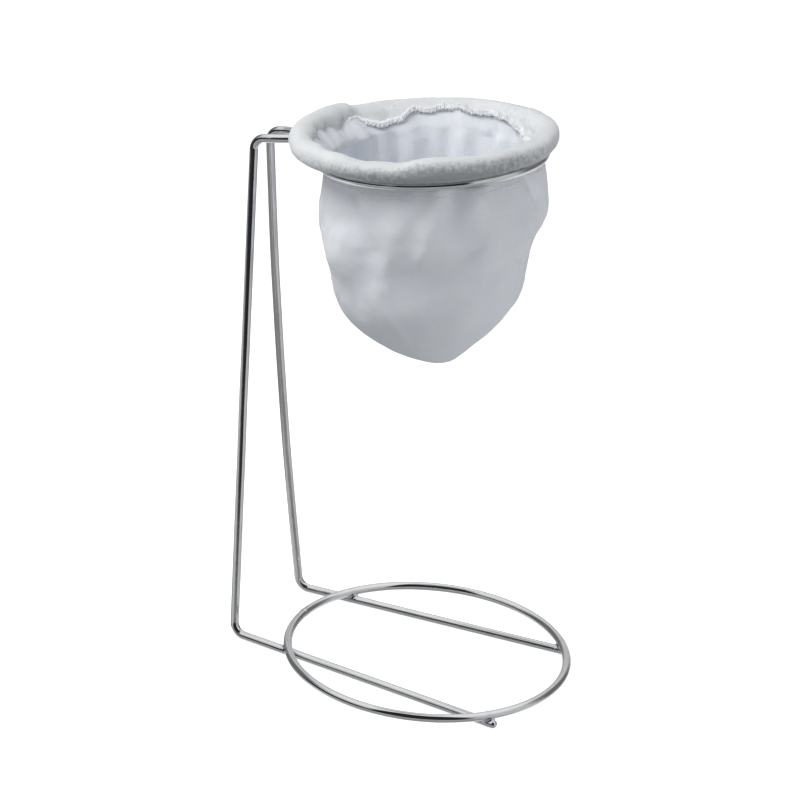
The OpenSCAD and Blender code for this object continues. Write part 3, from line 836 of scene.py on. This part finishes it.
# loose nap where the inside of the roll is turned out, at the right
loose = smooth(RT, 2, 20) * smooth(RT, 78, 60)
bumps = bumps + (0.20 + 0.60 * nap_noise(U, Vn * 21.0)) * loose * smooth(Vn, 0.66, 0.78)
# two short pleats on the inner slope at the left, and a shallow dent on the near face
for a0, v0, height, wa, wv in [(-167, 0.86, -1.3, 2.0, 0.10), (-179, 0.86, -1.2, 2.0, 0.10), (-173, 0.86, 0.8, 2.2, 0.10),
                               (-156, 0.84, -0.9, 2.2, 0.08), (-161, 0.84, 0.6, 2.2, 0.08), (-68, 0.45, -0.55, 6.0, 0.12), (-128, 0.80, 0.6, 7.0, 0.10),
                               (171, 0.86, 0.55, 4.0, 0.10), (163, 0.80, -0.45, 3.5, 0.12)]:
    bumps = bumps + height * np.exp(-(((RT - a0 + 180) % 360 - 180) / wa) ** 2) * np.exp(-((Vn - v0) / wv) ** 2)
line_out = line_out + n2 * (bumps * smooth(Vn, 0.0, 0.12))[..., None]
line_in = line_out - n2 * CLOTH
ang = np.linspace(0, math.pi, 6)[1:-1]


def end_cap(a_, b_, tdir):
    """Rounded edge of the strip from point a_ to b_."""
    mid, half = (a_ + b_) / 2, (a_ - b_) / 2
    r = np.linalg.norm(half, axis=-1, keepdims=True)
    return [mid + half * math.cos(x) + tdir * r * math.sin(x) for x in ang]


cap_end = end_cap(line_out[:, -1], line_in[:, -1], t2[:, -1])
cap_start = end_cap(line_in[:, 0], line_out[:, 0], -t2[:, 0])
loop = np.concatenate([line_out, np.stack(cap_end, 1), line_in[:, ::-1], np.stack(cap_start, 1)], axis=1)
nl = loop.shape[1]
P3 = at(HEM, HEM_R + loop[..., 0], np.radians(tr)[:, None], loop[..., 1])
us = np.radians(np.linspace(0, 360, NR + 1)) * HEM_R * MM
lv = np.concatenate([[0], np.cumsum(np.linalg.norm(np.diff(np.vstack([loop[0], loop[0][:1]]), axis=0), axis=1))]) * MM
quads, uv = grid(NR, nl, True, True, us, lv)
rim = build("rolled_cloth_rim", P3.reshape(-1, 3), [quads], [uv], "filter", RIM, ["filter_hem"])


# ---- the overlocked edge on the strip's inner end: thread wraps over a thin core
def wraps(centre3, along3, normal3, arc, half_long, half_wide, pitch, thread_r, seed, closed, per=14, seg=6, slant=0.35):
    """One thread wound round an edge. centre3, along3, normal3: functions of the position in mm along the edge."""
    turns = int(round(arc / pitch))
    n = turns * per
    w = np.arange(n + (0 if closed else 1)) / per
    rngs = np.random.default_rng(seed)
    wob = rngs.normal(0, 1, (turns + 1, 3))
    k = np.floor(w).astype(int) % (turns + 1)
    f = TAU * (w % 1)
    pos = (w * pitch + slant * np.sin(f) * pitch) * arc / (turns * pitch)
    size = 1 + 0.12 * np.sin(1.7 * w + wob[0, 0]) + 0.09 * wob[k, 0] * np.sin(f / 2) ** 2
    c, al, no = centre3(pos), along3(pos), normal3(pos)
    pts = c + al * (half_long * size * np.cos(f))[:, None] + no * (half_wide * size * np.sin(f))[:, None]
    return tube(pts, thread_r, closed=closed, seg=seg, round_end=0)


end3 = at(HEM, HEM_R + ((line_out + line_in) / 2)[:, -1, 0], np.radians(tr), ((line_out + line_in) / 2)[:, -1, 1])
t_end, n_end = t2[:, -1], n2[:, -1]
dir3 = at(HEM, HEM_R + ((line_out + line_in) / 2)[:, -1, 0] + t_end[:, 0], np.radians(tr),
          ((line_out + line_in) / 2)[:, -1, 1] + t_end[:, 1]) - end3
nrm3 = at(HEM, HEM_R + ((line_out + line_in) / 2)[:, -1, 0] + n_end[:, 0], np.radians(tr),
          ((line_out + line_in) / 2)[:, -1, 1] + n_end[:, 1]) - end3
seglen = np.linalg.norm(np.roll(end3, -1, 0) - end3, axis=1)
cum = np.concatenate([[0], np.cumsum(seglen)])
arc = cum[-1]


def closed_path(data):
    ext = np.vstack([data, data[:1]])
    return lambda s: np.stack([np.interp(np.asarray(s) % arc, cum, ext[:, k]) for k in range(3)], 1)


edge_c, edge_t, edge_n = closed_path(end3), closed_path(dir3), closed_path(nrm3)
V1 = wraps(lambda s: edge_c(s) - 0.35 * edge_t(s) + 0.12 * edge_n(s), edge_t, edge_n, arc, 0.90, 0.74, 0.84, 0.35, 31, True)
# the chain of the two looper threads along the very edge
w = np.linspace(0, arc, 1400, endpoint=False)
turns = round(arc / 1.6)
f = TAU * w / arc * turns
chain = (edge_c(w) + edge_t(w) * (0.55 + 0.30 * np.sin(f) + 0.20 * np.sin(f * 0.37 + 1) * np.sin(w / arc * math.pi))[:, None]
         + edge_n(w) * (0.20 + 0.50 * np.cos(f))[:, None])
V2 = tube(chain, 0.35 + 0.08 * np.sin(1.7 * f), closed=True, seg=6)
V, F, T = join([V1, V2])
overlock = build("rim_overlock_edge", V, F, T, "filter", THREAD, ["hem_overlock"], outward=False)


# ---- stitches under the ring
def stitches_at(depth, count, share, lift, radius):
    parts = []
    for k in range(count):
        a0 = -180 + 360 * (k + 0.04 * math.sin(k * 2.4)) / count
        t = np.linspace(0, 1, 9)
        th_ = a0 + 360 / count * share * t
        dep = depth + 0.12 * math.sin(k * 1.7) + 0.05 * np.sin(3 * t + k)
        s_ = np.broadcast_to(dep, t.shape)
        w = bag_radius(th_, s_) + lift - 0.60 * (2 * t - 1) ** 6
        p = at(RING, w, np.radians(th_), -s_, -pchip(LEAN_S, LEAN, s_))
        parts.append(tube(p, radius * (1 - 0.35 * (2 * t - 1) ** 6), seg=8, round_end=0.1))
    return parts


V, F, T = join(stitches_at(4.5, 92, 0.74, 0.07, 0.20))
stitching = build("rim_stitches", V, F, T, "filter", STITCH, ["hem_stitching"], outward=False)

# ---- the seam allowance inside the bag, standing in along the side seam
SN = 70
sd = np.linspace(11.8, 70, SN)
root = bag_surface(np.full(SN, SEAM), sd)
lean_dir = at(RING, 1.0, math.radians(SEAM), 0.0) - RING_O
tang = at(RING, 1.0, math.radians(SEAM + 90), 0.0) - RING_O
slope = np.gradient(root, axis=0)
slope /= np.linalg.norm(slope, axis=1)[:, None]
inward = np.cross(slope, tang)
inward *= np.where(np.einsum("ij,j->i", inward, lean_dir) > 0, -1, 1)[:, None]
curl = 0.9 * np.sin(sd / 8.5) + 0.5 * np.sin(sd / 3.9 + 1)
M = 9
prof = []
for k in range(M + 1):
    h = CLOTH * 0.8 + (6.1 - CLOTH * 0.8) * k / M
    off = (curl * (k / M) ** 2 + 1.4 * (k / M) ** 2)[:, None]
    prof.append(root + inward * h + tang * off)
mid = np.stack(prof, 1)
width = 0.78
left, right = mid + tang * width, mid - tang * width
sec = np.concatenate([left, (mid[:, -1:] + inward[:, None] * 0.45 + tang * 0.4), (mid[:, -1:] + inward[:, None] * 0.45 - tang * 0.4),
                      right[:, ::-1]], 1)
ns = sec.shape[1]
vs_ = np.concatenate([[0], np.cumsum(np.linalg.norm(np.diff(np.vstack([sec[0], sec[0][:1]]), axis=0), axis=1))]) * MM
quads, uv = grid(SN, ns, False, True, sd * MM, vs_)
V = sec.reshape(-1, 3)
caps, cuv = [], []
for row in (0, SN - 1):
    c = len(V)
    V = np.vstack([V, sec[row].mean(0)])
    i = np.arange(ns)
    tri = np.stack([row * ns + i, row * ns + (i + 1) % ns, np.full(ns, c)], 1)
    caps.append(tri[:, ::-1] if row == 0 else tri)
    cuv.append(np.zeros((ns, 3, 2)) + np.array([[0, 0], [1e-3, 0], [0, 1e-3]]))
allowance = build("bag_seam_allowance", V, [quads] + caps, [uv] + cuv, "filter", COTTON, ["side_seam"])

edge = mid[:, -1]
cum2 = np.concatenate([[0], np.cumsum(np.linalg.norm(np.diff(edge, axis=0), axis=1))])
open_path = lambda data: (lambda s: np.stack([np.interp(s, cum2, data[:, k]) for k in range(3)], 1))
V, F, T = wraps(open_path(edge - inward * 0.7), open_path(inward), open_path(np.broadcast_to(tang, edge.shape)), cum2[-1] * 0.96,
                1.45, 1.12, 1.1, 0.28, 32, False)
seam_edge = build("seam_overlock_edge", V, F, T, "filter", THREAD, ["seam_overlock"], outward=False)

# ---- CAD nodes that stay: the wire hoop inside the rim
for name in ("filter_hoop", "filter_hoop_joint"):
    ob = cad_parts[name]
    ob.data.materials.clear()
    ob.data.materials.append(HOOP if name == "filter_hoop" else WELD)


# ---------------------------------------------------------------- floor, light and world
floor_mesh = bpy.data.meshes.new("floor")
floor_mesh.from_pydata([(-9, -9, 0), (9, -9, 0), (9, 9, 0), (-9, 9, 0)], [], [(0, 1, 2, 3)])
floor = bpy.data.objects.new("floor", floor_mesh)
floor.location.z = -0.00003
scene.collection.objects.link(floor)
k = Mat("pale_floor")
k.set(Roughness=0.9, Specular_IOR_Level=0.1, Emission_Strength=0.86)
tone = k.ramp(k.noise(k.space((1, 1, 1)), 3.0, 2), "Fac", (0.56, 0.56, 0.57), (0.60, 0.60, 0.61))
k.link(tone, "Color", k.b, "Base Color")
k.b.inputs["Emission Color"].default_value = (1, 1, 1, 1)
floor_mesh.materials.append(k.m)
floor.visible_diffuse = False
floor.visible_glossy = False

lamp = bpy.data.lights.new("overhead_softbox", "AREA")
lamp.shape, lamp.size, lamp.size_y, lamp.energy = "RECTANGLE", 1.3, 1.3, 1.05
lamp.color = (1.0, 0.995, 0.985)
box = bpy.data.objects.new("overhead_softbox", lamp)
box.location = (-0.20, 0.25, 1.45)
box.rotation_euler = (Vector((0, 0, 0.18)) - box.location).to_track_quat("-Z", "Y").to_euler()
box.visible_camera = False
box.visible_glossy = False
scene.collection.objects.link(box)

for name, where, size, energy in (("left_softbox", (-0.45, -0.52, 1.12), 0.6, 9.0), ("right_softbox", (0.95, 0.05, 0.10), 0.6, 1.7)):
    key = bpy.data.lights.new(name, "AREA")
    key.shape, key.size, key.energy = "SQUARE", size, energy
    key_box = bpy.data.objects.new(name, key)
    key_box.location = where
    key_box.rotation_euler = (Vector((0, 0, 0.19)) - key_box.location).to_track_quat("-Z", "Y").to_euler()
    key_box.visible_camera = False
    key_box.visible_glossy = False
    scene.collection.objects.link(key_box)

world = bpy.data.worlds.new("studio")
scene.world = world
world.use_nodes = True
wt = world.node_tree
wt.nodes.clear()


def wn(kind, **kw):
    node = wt.nodes.new(kind)
    for a_, v_ in kw.items():
        setattr(node, a_, v_)
    return node


def wmath(op, a_, b_=None, clamp=False):
    node = wn("ShaderNodeMath", operation=op, use_clamp=clamp)
    for i_, v_ in enumerate((a_, b_)):
        if v_ is None:
            continue
        if isinstance(v_, (int, float)):
            node.inputs[i_].default_value = v_
        else:
            wt.links.new(v_, node.inputs[i_])
    return node.outputs[0]


coord = wn("ShaderNodeTexCoord")
sep = wn("ShaderNodeSeparateXYZ")
wt.links.new(coord.outputs["Generated"], sep.inputs[0])
X, Y, Z = sep.outputs
# angle round from the studio's front, where the dark flag stands; negative to its left
FRONT = math.atan2(-fwd[1], -fwd[0])
cx, sx = math.cos(FRONT), math.sin(FRONT)
fx = wmath("ADD", wmath("MULTIPLY", X, cx), wmath("MULTIPLY", Y, sx))
fy = wmath("SUBTRACT", wmath("MULTIPLY", Y, cx), wmath("MULTIPLY", X, sx))
AZ = wmath("MULTIPLY", wmath("ARCTAN2", fy, fx), 180 / math.pi)
EL = wmath("MULTIPLY", wmath("ARCSINE", Z), 180 / math.pi)


def ease(value, a_, b_):
    node = wn("ShaderNodeMapRange", interpolation_type="SMOOTHSTEP")
    wt.links.new(value, node.inputs["Value"])
    node.inputs["From Min"].default_value, node.inputs["From Max"].default_value = a_, b_
    return node.outputs["Result"]


def patch(az0, az1, el0, el1, soft_az, soft_el):
    """A soft-edged rectangle of the sky, 1 inside."""
    a_ = wmath("MULTIPLY", ease(AZ, az0 - soft_az, az0 + soft_az), ease(AZ, az1 + soft_az, az1 - soft_az))
    e_ = wmath("MULTIPLY", ease(EL, el0 - soft_el, el0 + soft_el), ease(EL, el1 + soft_el, el1 - soft_el))
    return wmath("MULTIPLY", a_, e_)


def stack(base, layers):
    """base tone, then each (mask, tone) over it."""
    out = base
    for mask, tone_ in layers:
        diff = wmath("SUBTRACT", tone_, out)
        out = wmath("ADD", out, wmath("MULTIPLY", diff, mask))
    return out


# What chrome reflects: light walls and ceiling, a dark flag in front, dark bands low down
glossy = stack(0.56, [
    (ease(EL, 20, 60), 0.92),
    (ease(EL, -30, -50), 0.30),
    (patch(98, 205, -78, -27, 14, 5), 0.85),
    (patch(-205, -98, -78, -27, 14, 5), 0.85),
    (patch(96, 148, -17, 42, 12, 8), 0.16),
    (patch(-148, -96, -17, 42, 12, 8), 0.16),
    (patch(-150, 60, -34, -23.5, 6, 1.2), 0.24),
    (patch(-172, 17, -13, -5, 6, 2.5), 0.09),
    (patch(-104, -42, -14, 20, 8, 3), 0.03),
    (patch(-42, 37, -14, 76, 6, 4), 0.02),
])
# What lights the cloth: dim in front, brighter from the sides, the back and above
soft = stack(0.66, [
    (ease(EL, 10, 70), 0.38),
    (ease(EL, -5, -50), 0.44),
    (patch(45, 140, 8, 70, 15, 12), 0.16),
    (patch(-62, -2, -45, 45, 18, 16), 0.20),
])
path_node = wn("ShaderNodeLightPath")


def background(value, tint):
    comb = wn("ShaderNodeCombineXYZ")
    for i_ in range(3):
        wt.links.new(wmath("MULTIPLY", value, tint[i_]), comb.inputs[i_])
    bg = wn("ShaderNodeBackground")
    wt.links.new(comb.outputs[0], bg.inputs["Color"])
    return bg.outputs[0]


def mix(fac, a_, b_):
    node = wn("ShaderNodeMixShader")
    wt.links.new(fac, node.inputs[0])
    wt.links.new(a_, node.inputs[1])
    wt.links.new(b_, node.inputs[2])
    return node.outputs[0]


white = wn("ShaderNodeBackground")
white.inputs["Color"].default_value = (1, 1, 1, 1)
lit = mix(path_node.outputs["Is Glossy Ray"], background(soft, (0.985, 1.0, 1.035)), background(glossy, (0.99, 1.0, 1.01)))
lit = mix(path_node.outputs["Is Camera Ray"], lit, white.outputs[0])
wo = wn("ShaderNodeOutputWorld")
wt.links.new(lit, wo.inputs["Surface"])

scene.view_settings.view_transform = "Standard"
scene.view_settings.look = "None"
scene.view_settings.exposure = 0.0
scene.view_settings.gamma = 1.0
